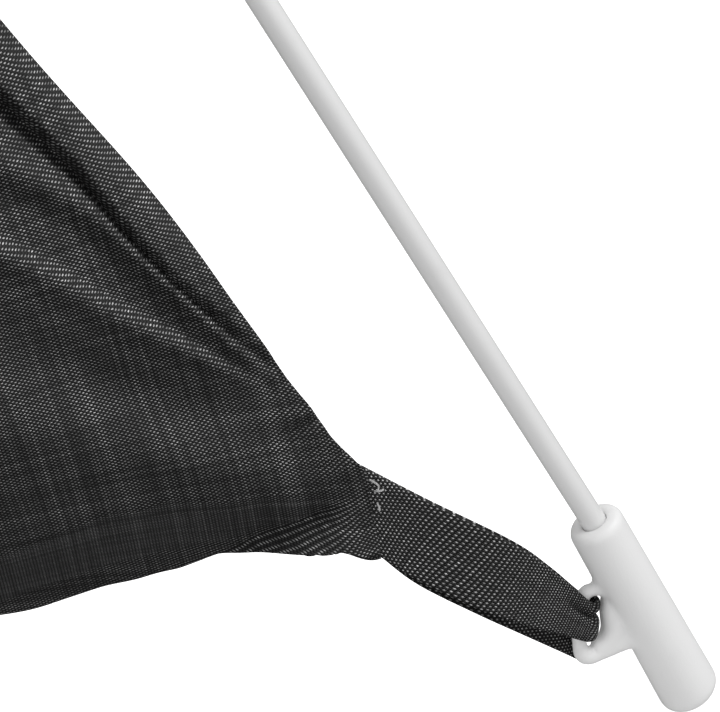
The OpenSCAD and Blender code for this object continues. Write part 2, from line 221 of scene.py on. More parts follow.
def hand_over(piece: Piece, body: str, note: str, node: str | None = None) -> None:
    """Hide the solid that a finished piece replaces, attach the piece to its body and log what it
    is.

    Args:
        piece: The piece.
        body: Body that it rides on.
        note: What it is, for the log.
        node: Solid that it replaces, if any.
    """
    if node:
        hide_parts(node)
    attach(piece, body)
    report(piece, note)


def lay_sheet(mesh: Mesh, across: int, along: int, place: Place) -> list:
    """Add a grid whose points a function puts in place.

    Args:
        mesh: The bmesh that takes the grid.
        across: Number of faces in the first direction.
        along: Number of faces in the second direction.
        place: Gives the point and the flat place of each pair of shares from 0 to 1.

    Returns:
        The new vertices.
    """
    layer = mesh.loops.layers.uv.get(FLAT) or mesh.loops.layers.uv.new(FLAT)
    made = bmesh.ops.create_grid(mesh, x_segments=across, y_segments=along, size=0.5,
                                 calc_uvs=True)["verts"]
    flat = {}
    for vert in made:
        spot, flat[vert] = place(vert.co.x + 0.5, vert.co.y + 0.5)
        vert.co = spot
    for vert in made:
        for loop in vert.link_loops:
            loop[layer].uv = flat[vert]
    return made


def lay_tube(mesh: Mesh, path: Sequence[Vector],
             radius: Callable[[float], float] | float, sides: int = 8) -> None:
    """Add a closed round tube along a path.

    Args:
        mesh: The bmesh that takes the tube.
        path: The points that its middle follows.
        radius: Its radius, or a function of the share of the path from 0 to 1.
        sides: Number of faces around it.
    """
    count = len(path) - 1
    tangents = [(path[min(i + 1, count)] - path[max(i - 1, 0)]).normalized()
                for i in range(count + 1)]
    first = tangents[0].orthogonal().normalized()
    frames = []
    for tangent in tangents:
        first = (first - tangent * first.dot(tangent)).normalized()
        frames.append((first, tangent.cross(first)))
    reach = reaches(path)

    def place(share: float, around: float) -> Placed:
        """Put one point of the tube's skin in place."""
        i = round(share * count)
        size = radius(share) if callable(radius) else radius
        side, up = frames[i]
        turn = TURN * around
        spot = path[i] + size * (math.cos(turn) * side + math.sin(turn) * up)
        return spot, (reach[i], around * TURN * size)

    made = lay_sheet(mesh, count, sides, place)
    bmesh.ops.remove_doubles(mesh, verts=made, dist=1e-6)
    rims = [e for e in mesh.edges if e.is_boundary]
    bmesh.ops.holes_fill(mesh, edges=rims, sides=0)


def lay_stitches(mesh: Mesh, start: Vector, end: Vector, pitch: float,
                 thread: float = 0.35 * MM) -> None:
    """Add a row of stitches, each a short raised length of thread.

    Args:
        mesh: The bmesh that takes the stitches.
        start: Where the row starts.
        end: Where the row ends.
        pitch: Distance from one stitch to the next.
        thread: Radius of the thread.
    """
    run = end - start
    count = max(1, round(run.length / pitch))
    turned = run.to_track_quat("Z", "Y").to_matrix().to_4x4()
    for n in range(count):
        spot = start + run * ((n + 0.5) / count)
        bmesh.ops.create_cone(mesh, cap_ends=True, segments=5, radius1=thread,
                              radius2=thread, depth=run.length / count * 0.68,
                              matrix=Matrix.Translation(spot) @ turned)


def relax(mesh: Mesh, verts: Sequence[bmesh.types.BMVert], rounds: int) -> None:
    """Smooth some points of a mesh half-way towards their neighbours, round by round."""
    for _ in range(rounds):
        bmesh.ops.smooth_vert(mesh, verts=verts, factor=0.5, use_axis_x=True,
                              use_axis_y=True, use_axis_z=True)


def give_thickness(piece: Piece, thickness: float, rounds: int = 0) -> None:
    """Give a sheet its thickness about its middle and round its edges.

    Args:
        piece: The sheet.
        thickness: Its thickness.
        rounds: Levels of subdivision that round its edges.
    """
    wall = piece.modifiers.new("thickness", "SOLIDIFY")
    wall.thickness = thickness
    wall.offset = 0
    wall.use_even_offset = False
    if rounds:
        soft = piece.modifiers.new("rounded", "SUBSURF")
        soft.levels = soft.render_levels = rounds


# ---- finishes

class Sketch:
    """A material's node tree that is drawn one node at a time."""

    def __init__(self, name: str) -> None:
        """Start a material of this name with a bare surface shader."""
        self.material = bpy.data.materials.new(name)
        self.material.use_nodes = True
        self.tree = self.material.node_tree
        self.shader = self.tree.nodes["Principled BSDF"]

    def add(self, kind: str, inputs: dict | None = None, **settings: object) -> bpy.types.Node:
        """Add a node.

        Args:
            kind: Blender's name of the node, without its ShaderNode prefix.
            inputs: Values or sockets for its inputs, by name or number.
            settings: The node's own settings.

        Returns:
            The node.
        """
        node = self.tree.nodes.new("ShaderNode" + kind)
        for key, value in settings.items():
            setattr(node, key, value)
        for key, value in (inputs or {}).items():
            self.feed(node.inputs[key], value)
        return node

    def feed(self, socket: Socket, value: object) -> None:
        """Set a socket to a value, or link it to another node's socket."""
        if isinstance(value, Socket):
            self.tree.links.new(value, socket)
        else:
            socket.default_value = value

    def sum(self, operation: str, *terms: object) -> Socket:
        """Add a Math node and return its result."""
        node = self.add("Math", dict(enumerate(terms)), operation=operation)
        return node.outputs[0]

    def between(self, share: object, low: object, high: object) -> Socket:
        """Return a number mixed from low to high by a share from 0 to 1."""
        return self.add("MapRange", {0: share, 3: low, 4: high}).outputs[0]

    def blend(self, share: object, low: object, high: object) -> Socket:
        """Return a colour mixed from low to high by a share from 0 to 1."""
        node = self.add("Mix", {0: share, 6: low, 7: high}, data_type="RGBA")
        return node.outputs[2]

    def noise(self, vector: object, scale: float, detail: float = 3.0,
              roughness: float = 0.55) -> Socket:
        """Return smooth noise from 0 to 1 on a vector."""
        return self.add("TexNoise", {"Vector": vector, "Scale": scale, "Detail": detail,
                                     "Roughness": roughness}).outputs[0]

    def place(self) -> Socket:
        """Return the Object coordinates, in metres."""
        return self.add("TexCoord").outputs["Object"]

    def flat_place(self) -> Socket:
        """Return the piece's own flat coordinates, in metres."""
        return self.add("UVMap", uv_map=FLAT).outputs[0]

    def stretched(self, vector: object, x: float, y: float, z: float) -> Socket:
        """Return a vector multiplied along each axis."""
        return self.add("Mapping", {"Vector": vector, "Scale": (x, y, z)}).outputs[0]

    def bumped(self, height: object, depth: float) -> Socket:
        """Return the normal of a surface raised by a height from 0 to 1 times a depth."""
        return self.add("Bump", {"Height": height, "Distance": depth,
                                 "Strength": 1.0}).outputs[0]

    def finish(self, inputs: dict) -> bpy.types.Material:
        """Feed the surface shader's inputs, by name, and return the finished material."""
        for key, value in inputs.items():
            self.feed(self.shader.inputs[key], value)
        return self.material


def grey(value: float) -> Colour:
    """Return a neutral colour of this linear value."""
    return (value, value, value, 1.0)


@dataclass(frozen=True)
class MouldedFinish:
    """White moulded or coated surface with faint mottling, grain and handling marks."""
    name: str
    light: Colour
    dark: Colour
    smooth_part: float
    rough_part: float
    grain: float
    grain_depth: float
    coat: float = 0.0

    def build(self) -> bpy.types.Material:
        """Return the finish's material."""
        s = Sketch(self.name)
        spot = s.place()
        clouds = s.noise(spot, 22.0, 4.0)
        fine = s.noise(spot, self.grain, 2.0)
        marks = s.noise(s.stretched(spot, 1.0, 1.0, 0.25), 160.0, 5.0, 0.7)
        scuffs = s.add("MapRange", {0: marks, 1: 0.6, 2: 0.75, 3: 0.0, 4: 1.0}).outputs[0]
        shade = s.sum("MULTIPLY_ADD", scuffs, -0.35, clouds)
        colour = s.blend(s.between(shade, 0.0, 1.0), self.dark, self.light)
        gloss = s.sum("MULTIPLY_ADD", scuffs, 0.3, fine)
        return s.finish({
            "Base Color": colour, "Coat Weight": self.coat, "Coat Roughness": 0.25,
            "Roughness": s.between(gloss, self.smooth_part, self.rough_part),
            "Normal": s.bumped(s.sum("MULTIPLY_ADD", clouds, 0.6, fine), self.grain_depth)})


@dataclass(frozen=True)
class SteelFinish:
    """Zinc-plated steel with a cloudy plating and fine turning marks."""
    name: str = "zinc_steel"

    def build(self) -> bpy.types.Material:
        """Return the finish's material."""
        s = Sketch(self.name)
        spot = s.place()
        plating = s.noise(spot, 900.0, 4.0)
        marks = s.noise(s.stretched(spot, 1.0, 1.0, 12.0), 1500.0, 2.0)
        colour = s.blend(plating, (0.46, 0.47, 0.48, 1.0), (0.68, 0.69, 0.7, 1.0))
        return s.finish({"Base Color": colour, "Metallic": 1.0,
                         "Roughness": s.between(marks, 0.24, 0.46),
                         "Normal": s.bumped(marks, 0.03 * MM)})


@dataclass(frozen=True)
class WovenFinish:
    """Plain-woven cloth or webbing: threads that pass over and under each other, with painted
    highlights on the thread crowns.
    """
    name: str
    pitch: float
    low: Colour
    # Colour of the painted highlights on the thread crowns.
    high: Colour
    depth: float
    ribs: float
    sheen: float
    rough: float
    # The next two fields set how tightly the painted highlights gather on the thread crowns and
    # how much painted highlight the other family of threads gets.
    highlight_sharpness: float = 6.0
    odd_highlight: float = 0.03

    def build(self) -> bpy.types.Material:
        """Return the finish's material, which reads the piece's flat coordinates."""
        s = Sketch(self.name)
        flat = s.flat_place()
        wander = s.noise(flat, 260.0, 2.0)
        count = 1 / self.pitch
        cells = s.add("SeparateXYZ", {0: s.stretched(flat, count, count * self.ribs, 1.0)})
        across = s.sum("MULTIPLY_ADD", wander, 0.35, cells.outputs[0])
        along = s.sum("MULTIPLY_ADD", wander, -0.35, cells.outputs[1])
        parity = s.sum("ABSOLUTE", s.sum("MODULO", s.sum(
            "ADD", s.sum("FLOOR", across), s.sum("FLOOR", along)), 2.0))
        squares = []
        for place in (across, along):
            middle = s.sum("MULTIPLY_ADD", s.sum("FRACT", place), 2.0, -1.0)
            squares.append(s.sum("MULTIPLY", middle, middle))
        fall_x = s.sum("MULTIPLY", squares[0], s.between(parity, 0.85, 0.35))
        fall_y = s.sum("MULTIPLY", squares[1], s.between(parity, 0.35, 0.85))
        height = s.sum("SUBTRACT", s.sum("SUBTRACT", 1.0, fall_x), fall_y)
        slubs_x = s.noise(s.stretched(flat, 12.0, count * 0.5, 1.0), 1.0, 2.0)
        slubs_y = s.noise(s.stretched(flat, count * 0.5, 12.0, 1.0), 1.0, 2.0)
        uneven = s.sum("ADD", slubs_x, slubs_y)
        light = s.sum("MULTIPLY", height, s.between(s.sum("MULTIPLY", uneven, 0.5), 0.45, 1.35))
        # Painted highlights: the base colour turns light on the thread crowns, almost only on one
        # family of threads.
        painted_crown_highlights = s.sum("MULTIPLY", s.sum("POWER", s.sum("MAXIMUM", light, 0.0), self.highlight_sharpness),
                       s.between(parity, self.odd_highlight, 1.0))
        return s.finish({
            "Base Color": s.blend(painted_crown_highlights, self.low, self.high),
            "Roughness": s.between(light, 0.95, self.rough), "Specular IOR Level": 0.22,
            "Sheen Weight": self.sheen, "Sheen Roughness": 0.45,
            "Sheen Tint": (0.75, 0.77, 0.8, 1.0),
            "Normal": s.bumped(s.sum("MULTIPLY_ADD", uneven, 0.25, height), self.depth)})


@dataclass(frozen=True)
class CordFinish:
    """Braided cord or sewing thread, whose plies turn around it."""
    name: str
    low: Colour
    high: Colour
    lay: float

    def build(self) -> bpy.types.Material:
        """Return the finish's material."""
        s = Sketch(self.name)
        spot = s.place()
        bands = s.add("TexWave", {"Vector": spot, "Scale": self.lay, "Distortion": 3.0,
                                  "Detail": 2.0}, bands_direction="DIAGONAL").outputs["Fac"]
        fuzz = s.noise(spot, 4000.0, 2.0)
        shade = s.sum("MULTIPLY_ADD", fuzz, 0.4, s.sum("MULTIPLY", bands, 0.7))
        return s.finish({"Base Color": s.blend(shade, self.low, self.high),
                         "Sheen Weight": 0.2, "Roughness": s.between(bands, 0.85, 0.55),
                         "Normal": s.bumped(bands, 0.15 * MM)})


@dataclass(frozen=True)
class RubberFinish:
    """Bright rubber skin with a pebbled grain, rubbed smoother on its high spots."""
    name: str = "pebbled_rubber"

    def build(self) -> bpy.types.Material:
        """Return the finish's material."""
        s = Sketch(self.name)
        spot = s.place()
        pebbles = s.add("TexVoronoi", {"Vector": spot, "Scale": 620.0, "Smoothness": 0.4},
                        feature="SMOOTH_F1").outputs["Distance"]
        crown = s.sum("SUBTRACT", 1.0, pebbles)
        dust = s.noise(spot, 45.0, 5.0)
        shade = s.sum("MULTIPLY_ADD", crown, 0.5, s.sum("MULTIPLY", dust, 0.5))
        colour = s.blend(shade, (0.55, 0.31, 0.008, 1.0), (0.86, 0.58, 0.03, 1.0))
        return s.finish({"Base Color": colour, "Roughness": s.between(crown, 0.62, 0.42),
                         "Normal": s.bumped(crown, 0.25 * MM)})


@dataclass
class Finishes:
    """All the finishes of the set."""

    def __post_init__(self) -> None:
        """Build each material once."""
        self.moulded = MouldedFinish(
            "moulded_white", grey(0.9), grey(0.84), smooth_part=0.34, rough_part=0.52,
            grain=1800.0, grain_depth=0.03 * MM).build()
        self.rod = MouldedFinish(
            "coated_rod", grey(0.85), grey(0.78), smooth_part=0.25, rough_part=0.42,
            grain=2600.0, grain_depth=0.02 * MM, coat=0.3).build()
        self.tube = MouldedFinish(
            "tube_white", grey(0.80), grey(0.72), smooth_part=0.3, rough_part=0.46,
            grain=1200.0, grain_depth=0.02 * MM).build()
        self.steel = SteelFinish().build()
        # The light colours of the cloth and the webbing, grey(0.46) and grey(0.62), are painted
        # highlights on the crowns of black threads.
        self.cloth = WovenFinish(
            "oxford_weave", 0.81 * MM, grey(0.002), grey(0.46), depth=0.14 * MM, ribs=1.65,
            sheen=0.02, rough=0.38).build()
        self.webbing = WovenFinish(
            "webbing_weave", 0.57 * MM, grey(0.002), grey(0.62), depth=0.25 * MM, ribs=0.5,
            sheen=0.01, rough=0.4).build()
        self.cord = CordFinish("net_cord_braid", grey(0.012), grey(0.07), 500.0).build()
        self.thread = CordFinish("white_thread", grey(0.55), grey(0.85), 2500.0).build()
        self.black_thread = CordFinish("black_thread", grey(0.01), grey(0.06), 2500.0).build()
        self.rubber = RubberFinish().build()


# ---- studio

@dataclass
class Studio:
    """Camera, lamps and a plain pale floor."""
    eye: Vector = Vector((0.0613, -0.9125, 0.808))
    look: Vector = Vector((0.28, 0.6077, -0.7431))
    lens: float = 196.1
    target: Vector = Vector((0.30, -0.30, 0.10))
    sky: float = 0.66

    def lamp(self, name: str, direction: Vector, distance: float, size: float,
             power: float) -> Piece:
        """Hang an area lamp that looks at the target.

        Args:
            name: Name of the lamp.
            direction: From the target to the lamp.
            distance: How far away it hangs.
            size: Side of its square.
            power: Its power in watts.
        """
        data = bpy.data.lights.new(name, "AREA")
        data.size = size
        data.energy = power
        lamp = bpy.data.objects.new(name, data)
        lamp.location = self.target + direction.normalized() * distance
        lamp.rotation_euler = (-direction).to_track_quat("-Z", "Y").to_euler()
        bpy.context.scene.collection.objects.link(lamp)
        return lamp

    def build(self) -> None:
        """Set up the camera, the lamps, the world and the floor."""
        scene = bpy.context.scene
        scene.view_settings.view_transform = "Standard"
        data = bpy.data.cameras.new("studio_camera")
        data.lens = self.lens
        data.sensor_width = 36.0
        camera = bpy.data.objects.new("studio_camera", data)
        camera.location = self.eye
        camera.rotation_euler = self.look.to_track_quat("-Z", "Y").to_euler()
        scene.collection.objects.link(camera)
        scene.camera = camera

        ahead = Vector((self.look.x, self.look.y, 0)).normalized()
        up = Vector((0, 0, 1))
        right = ahead.cross(up)
        self.lamp("key", 0.45 * right + 0.2 * ahead + 1.0 * up,
                  distance=2.4, size=1.2, power=24.0)
        self.cloth_lamp = self.lamp("cloth_key", 0.7 * right + 0.45 * ahead + 1.1 * up,
                                    distance=2.4, size=0.6, power=95.0)
        self.lamp("fill", -0.3 * right - 1.0 * ahead + 0.9 * up,
                  distance=2.8, size=2.0, power=4.0)

        world = bpy.data.worlds.new("studio_world")
        world.use_nodes = True
        sky = world.node_tree.nodes["Background"]
        sky.inputs["Color"].default_value = grey(1.0)
        sky.inputs["Strength"].default_value = self.sky
        scene.world = world
        self.floor()

    def light_cloth(self, slots: set[str]) -> None:
        """Let the cloth's own lamp light only the pieces with these materials."""
        lit = bpy.data.collections.new("lit_cloth")
        for piece in bpy.data.objects:
            if piece.type == "MESH" and piece.data.materials \
                    and piece.data.materials[0] and piece.data.materials[0].name in slots:
                lit.objects.link(piece)
        self.cloth_lamp.light_linking.receiver_collection = lit

    def floor(self) -> None:
        """Lay the pale floor, which looks white to the camera and keeps a soft shadow; to glossy
        rays it is dark grey, a painted dark reflection.
        """
        mesh = bmesh.new()
        bmesh.ops.create_grid(mesh, x_segments=1, y_segments=1, size=6.0)
        s = Sketch("pale_floor")
        rays = s.add("LightPath")
        speckle = s.noise(s.place(), 300.0, 2.0)
        lit = s.blend(speckle, grey(0.72), grey(0.76))
        # Glossy rays see the floor's base colour as dark grey: a painted dark reflection that
        # puts shade on shiny and cloth surfaces where the pale floor is.
        paint = s.finish({
            "Base Color": s.blend(rays.outputs["Is Glossy Ray"], lit, grey(0.1)),
            "Roughness": 0.9, "Emission Color": grey(1.0),
            "Emission Strength": s.sum("MULTIPLY", rays.outputs["Is Camera Ray"], 0.85)})
        floor = make_piece("studio_floor", mesh, paint, outward=False)
        floor.location.z = -0.2 * MM


# ---- shared layout

@dataclass(frozen=True)
class Layout:
    """The set's main sizes, as its solids have them, and where a leg stands."""
    ring_radius: float = 400 * MM
    ring_height: float = 280 * MM
    tube_radius: float = 9 * MM
    tilt: float = math.radians(60)
    foot_radius: float = 7.25 * MM
    foot_length: float = 62 * MM
    foot_round: float = 4 * MM
    bore_radius: float = 3.25 * MM
    bore_depth: float = 44.3 * MM
    eye_height: float = 38 * MM
    eye_span: float = 22 * MM
    eye_reach: float = 21.5 * MM
    eye_top_reach: float = 10 * MM
    eye_radius: float = 2.25 * MM

    @property
    def ground_radius(self) -> float:
        """Distance from the set's middle to where a leg's axis meets the ground."""
        return self.ring_radius + self.ring_height / math.tan(self.tilt)

    @property
    def foot_start(self) -> float:
        """Distance up the leg from the ground to the foot's closed end."""
        slope = self.foot_round + (self.foot_radius - self.foot_round) * math.cos(self.tilt)
        return slope / math.sin(self.tilt) - self.foot_round

    @property
    def eye_start(self) -> float:
        """Distance up the leg from the ground to the middle of the eye."""
        return self.foot_start + self.eye_height

    @property
    def eye_corners(self) -> tuple[Vector, Vector]:
        """The eye's lower and upper corner, as (along the wall, up the leg)."""
        low = Vector((self.eye_reach, self.eye_start - 0.26 * self.eye_span))
        return low, Vector((self.eye_top_reach, self.eye_start + 0.4 * self.eye_span))

    def wall_frame(self, leg: int) -> Matrix:
        """Return the frame of a leg, with x along its panel's wall and z up the leg."""
        azimuth = math.radians(90 * (leg - 1) - 45)
        stand = (Matrix.Rotation(azimuth, 4, "Z")
                 @ Matrix.Translation((self.ground_radius, 0, 0))
                 @ Matrix.Rotation(self.tilt - math.pi / 2, 4, "Y"))
        half = math.pi / 4
        turn = math.atan2(math.cos(half), -math.sin(half) * math.sin(self.tilt))
        flip = Matrix.Scale(-1, 4, (0, 1, 0)) if leg % 2 else Matrix.Identity(4)
        return stand @ flip @ Matrix.Rotation(turn, 4, "Z")

    def corner_frame(self, leg: int) -> Matrix:
        """Return the frame of a leg's panel half: x towards the leg and y outwards."""
        x = 1 if leg in (1, 2) else -1
        y = 1 if leg in (2, 3) else -1
        return Matrix.Diagonal((x, y, 1, 1))

    def leg_line(self, height: float) -> float:
        """Return the leg axis's distance, along the wall and out from the middle alike."""
        return (self.ground_radius - height / math.tan(self.tilt)) * math.sqrt(0.5)


LAYOUT = Layout()
PANEL_OF_LEG = {1: (1, Side.RIGHT), 4: (1, Side.LEFT), 2: (2, Side.LEFT), 3: (2, Side.RIGHT)}


# ---- feet

@dataclass
class Foot:
    """A moulded foot on a rod's end, with the eye that its panel's webbing goes round."""
    leg: int
    voxel: float = 0.5 * MM
    rim: float = 2.3 * MM
    lean: float = 0.042
    proud: float = 2.8 * MM
    raised: float = 1.6 * MM
    swell: float = 0.12
    roots: Run = ((-0.43, 7 * MM), (0.43, 3.6 * MM))
    root_rounds: int = 14
    skin_rounds: int = 3
    web_run: Run = ((17.2, 35.0), (13.8, 34.8), (10.8, 36.4), (9.2, 39.2), (8.3, 42.5),
                    (6.6, 46.0))

    def barrel(self, mesh: Mesh) -> None:
        """Spin the foot's body, with soft ends and the bore that takes the rod."""
        r, low = LAYOUT.foot_radius, LAYOUT.foot_round
        length = LAYOUT.foot_length + self.proud
        outline = [(0.0, self.raised)]
        outline += arc((r - low, self.raised + low), low, -math.pi / 2, 0.0, 8)
        outline += arc((r - self.rim, length - self.rim), self.rim, 0.0, math.pi / 2, 6)
        floor = LAYOUT.foot_length - LAYOUT.bore_depth
        outline += [(LAYOUT.bore_radius + 0.5 * MM, length),
                    (LAYOUT.bore_radius, length - 0.5 * MM),
                    (LAYOUT.bore_radius, floor), (0.0, floor)]
        verts = [mesh.verts.new((x, 0.0, LAYOUT.foot_start + z)) for x, z in outline]
        edges = [mesh.edges.new(pair) for pair in zip(verts, verts[1:])]
        bmesh.ops.spin(mesh, geom=verts + edges, axis=(0, 0, 1), cent=(0, 0, 0),
                       dvec=(0, 0, 0), angle=TURN, steps=72, use_merge=True,
                       use_duplicate=False)
        bmesh.ops.remove_doubles(mesh, verts=mesh.verts, dist=1e-6)
        top = LAYOUT.foot_start + length
        for vert in mesh.verts:
            skin = smooth(LAYOUT.bore_radius, LAYOUT.bore_radius + 1 * MM, vert.co.xy.length)
            below = vert.co.z < LAYOUT.foot_start + floor - 1 * MM
            share = (top - vert.co.z) / length * max(skin, float(below))
            swollen = 1 - 0.015 * skin + self.swell * share
            vert.co.x = vert.co.x * swollen + self.lean * length * share
            vert.co.y *= swollen

    def eye(self, mesh: Mesh) -> None:
        """Add the eye's round bar and arms, which flare where they leave the foot."""
        thick = LAYOUT.eye_radius
        low = LAYOUT.eye_corners[0]
        top = LAYOUT.eye_corners[1] + Vector((1.6, 2.6)) * MM
        inside = LAYOUT.bore_radius + 1.2 * MM
        roots = (LAYOUT.eye_start - 8.5 * MM, LAYOUT.eye_start + 6.5 * MM)
        line = [Vector((inside, roots[0])), Vector((inside, roots[1]))]
        bulge = Vector((low.y - top.y, top.x - low.x)).normalized() * -1.8 * MM
        route = [line[0], low, (low + top) / 2 + bulge, top, line[1]]
        cuts = [0, 4.2 * MM, 5.5 * MM, 2.6 * MM, 0]
        path: list[Vector] = []
        for i, corner in enumerate(route):
            if not cuts[i]:
                path.append(corner)
                continue
            enter = corner + (route[i - 1] - corner).normalized() * cuts[i]
            leave = corner + (route[i + 1] - corner).normalized() * cuts[i]
            for n in range(9):
                k = n / 8
                path.append(enter.lerp(corner, k).lerp(corner.lerp(leave, k), k))
        path = [Vector((p.x, 0, p.y)) for p in path]
        reach = reaches(path)

        def radius(share: float) -> float:
            """Thicken the bar's lower end, and thin it where the webbing goes round."""
            at = reach[round(share * (len(path) - 1))]
            lower = 1 - smooth(0.0, 11 * MM, at)
            wrapped = smooth(16 * MM, 21 * MM, at)
            return thick + 0.15 * MM + 1.9 * MM * lower - 0.55 * MM * wrapped

        lay_tube(mesh, path, radius, 20)
        web = [Vector((x, 0, z)) * MM for x, z in self.web_run]
        lay_tube(mesh, web, lambda share: (2.3 + 1.1 * math.sin(math.pi * share)) * MM, 20)

    def build(self, finishes: Finishes) -> None:
        """Fuse the barrel and the eye into one smooth moulding."""
        mesh = bmesh.new()
        self.barrel(mesh)
        self.eye(mesh)
        rough = make_piece("foot_parts", mesh, finishes.moulded)
        fuse = rough.modifiers.new("fuse", "REMESH")
        fuse.mode = "VOXEL"
        fuse.voxel_size = self.voxel
        graph = bpy.context.evaluated_depsgraph_get()
        graph.update()
        mesh = bmesh.new()
        mesh.from_mesh(rough.evaluated_get(graph).to_mesh())
        bpy.data.objects.remove(rough)
        centre = LAYOUT.eye_start
        for share, around in self.roots:
            root = Vector((LAYOUT.foot_radius, 0, centre + share * LAYOUT.eye_span))
            near = [v for v in mesh.verts if (v.co - root).length < around
                    and v.co.xy.length > LAYOUT.foot_radius - 1.2 * MM]
            relax(mesh, near, self.root_rounds)
        relax(mesh, mesh.verts, self.skin_rounds)
        mesh.transform(LAYOUT.wall_frame(self.leg))
        piece = make_piece(f"moulded_foot_{self.leg}", mesh, finishes.moulded)
        hand_over(piece, f"leg_{self.leg}", "foot and eye in one moulding",
                  f"foot_{self.leg}")


# ---- side panels

@dataclass(frozen=True)
class Fold:
    """A line along a fold, with how far the cloth lies out there, in millimetres.

    Its run holds places across the wall, each with the line's height.
    """
    lift: float
    run: Run


@dataclass
class PanelShape:
    """The surface of one half of a side panel, from the middle seam to a leg.

    Its frame has x along the wall towards the leg, y outwards and z up.
    """
    hem_height: float = 80 * MM
    corner_height: float = 68 * MM
    strap_height: float = 91.4 * MM
    corner_share: float = 0.12
    hem_run: Run = (
        (0.0, 82.0), (0.62, 83.0), (0.75, 72.5), (0.85, 71.8), (0.885, 74.8), (0.94, 74.5),
        (0.975, 74.5))
    gap: float = 40 * MM
    lean: float = 0.08
    top_drop: float = 9 * MM
    flat_drop: float = 22 * MM
    curl_slope: float = 0.42
    gathers: tuple[tuple[float, float, float], ...] = (
        (1.3, 104, 8), (0.8, 121, 9), (-2.4, 178, 31))  # pull, its height and spread in mm
    curl_line: Run = ((200, 110), (250, 109), (262, 106), (287, 97), (302, 91), (317, 88))
    turn_line: Run = ((284, 76), (300, 81), (317, 87))
    fold_lines: tuple[Fold, ...] = (
        Fold(0.0, ((225, 122), (262, 110), (287, 99), (317, 89))),
        Fold(1.2, ((228, 149), (242, 136), (259, 125), (275, 112), (300, 98), (317, 92))),
        Fold(-2.0, ((232, 170), (255, 146), (274, 130), (291, 119), (305, 108))),
        Fold(-0.4, ((235, 183), (256, 156), (275, 138), (292, 126), (305, 115))),
        Fold(1.4, ((236, 190), (249, 175), (260, 161), (276, 143.5), (290, 128), (300, 116.5))),
        Fold(-1.8, ((236, 194.5), (249, 179.5), (260, 165), (276, 147), (290, 130), (300, 118))),
        Fold(-1.8, ((238, 201), (256, 182), (271, 161), (287, 136), (300, 119))),
        Fold(0.8, ((240, 208), (254, 192.5), (261, 183.5), (270, 167.5), (288, 138), (300, 121))),
        Fold(-1.0, ((242, 212), (254, 196), (261, 187), (270, 170.5), (288, 140), (300, 122.5))),
        Fold(-3.4, ((246, 215), (259, 193), (268, 174), (278, 156), (288, 142), (300, 124))),
        Fold(1.2, ((246, 218.5), (259, 197), (268, 178), (278, 160), (288, 145.5), (300, 127))),
        Fold(1.0, ((248, 224), (259, 203), (269, 183), (280, 163), (290, 149), (300, 131))),
        Fold(-6.4, ((249, 240), (266, 209), (283, 174), (292, 157), (301, 142))),
    )

    def __post_init__(self) -> None:
        """Work out the panel's edges from the set's main sizes."""
        self.top = LAYOUT.ring_height - LAYOUT.tube_radius - self.top_drop
        self.flat = self.top - self.flat_drop
        along = -math.sqrt(1 - (math.cos(LAYOUT.tilt) * math.sqrt(0.5)) ** 2)
        self.inset = -self.gap / along
        self.corner_x = LAYOUT.leg_line(self.strap_height) - self.inset
        slope = math.atan2(math.cos(LAYOUT.tilt) * math.sqrt(0.5), math.sin(LAYOUT.tilt))
        self.normal = Vector((0, math.cos(slope), math.sin(slope)))

    def edge_x(self, z: float) -> float:
        """Return how far the side edge is from the middle at a height."""
        drift = self.lean * max(0.0, min(z, self.flat) - self.strap_height)
        gather = sum(pull * MM * math.exp(-((z - at * MM) / (spread * MM)) ** 2)
                     for pull, at, spread in self.gathers)
        line = LAYOUT.leg_line(min(z, self.flat)) - self.inset - drift - gather
        return min(self.corner_x, line)

    def height(self, u: float, v: float) -> float:
        """Return the height of a point by its shares along and up the panel."""
        if v < self.corner_share:
            side = mix(self.corner_height, self.strap_height, v / self.corner_share)
        else:
            side = mix(self.strap_height, self.top,
                       (v - self.corner_share) / (1 - self.corner_share))
        u = abs(u)
        low = mix(along(self.hem_run, u) * MM, side, smooth(0.965, 1.0, u))
        high = mix(mix(self.hem_height, self.top, v), side, u ** 8)
        return mix(mix(low, high, v), high, smooth(0.0, 0.35, v))

    def out(self, u: float, z: float) -> float:
        """Return how far out the smooth panel is at a height."""
        top = math.sqrt(LAYOUT.ring_radius ** 2 - (u * self.edge_x(self.flat)) ** 2)
        share = (z - self.hem_height) / (self.flat - self.hem_height)
        if share < 0:
            return LAYOUT.leg_line(z)
        return mix(LAYOUT.leg_line(self.hem_height), top, min(1.0, share))

    def folds(self, x: float, z: float) -> float:
        """Return how far the folds lift the cloth at a point."""
        place = x / MM
        lines = [(along(fold.run, place, False) * MM, fold.lift) for fold in self.fold_lines]
        shown = smooth(306, 268, place) * (1 - 0.7 * (1 - smooth(90, 225, place)))
        lift = along(lines, z) * MM * shown
        reach = math.hypot(self.corner_x - x, z - self.strap_height)
        waves = 2.2 * MM * math.sin(TURN * x / (88 * MM) + 9 * z)
        lift += smooth(120 * MM, 240 * MM, reach) * waves
        edge = max(0.0, self.edge_x(z) - x)
        gathered = smooth(90 * MM, 97 * MM, z) * (1 - smooth(118 * MM, 134 * MM, z))
        puckers = math.sin(TURN * z / (6.2 * MM)) + 0.6 * math.sin(TURN * z / (9.5 * MM) + 1.3)
        lift += gathered * 0.55 * MM * math.exp(-edge / (12 * MM)) * puckers
        top = 1 - smooth(self.flat - 25 * MM, self.flat + 6 * MM, z)
        return lift * top

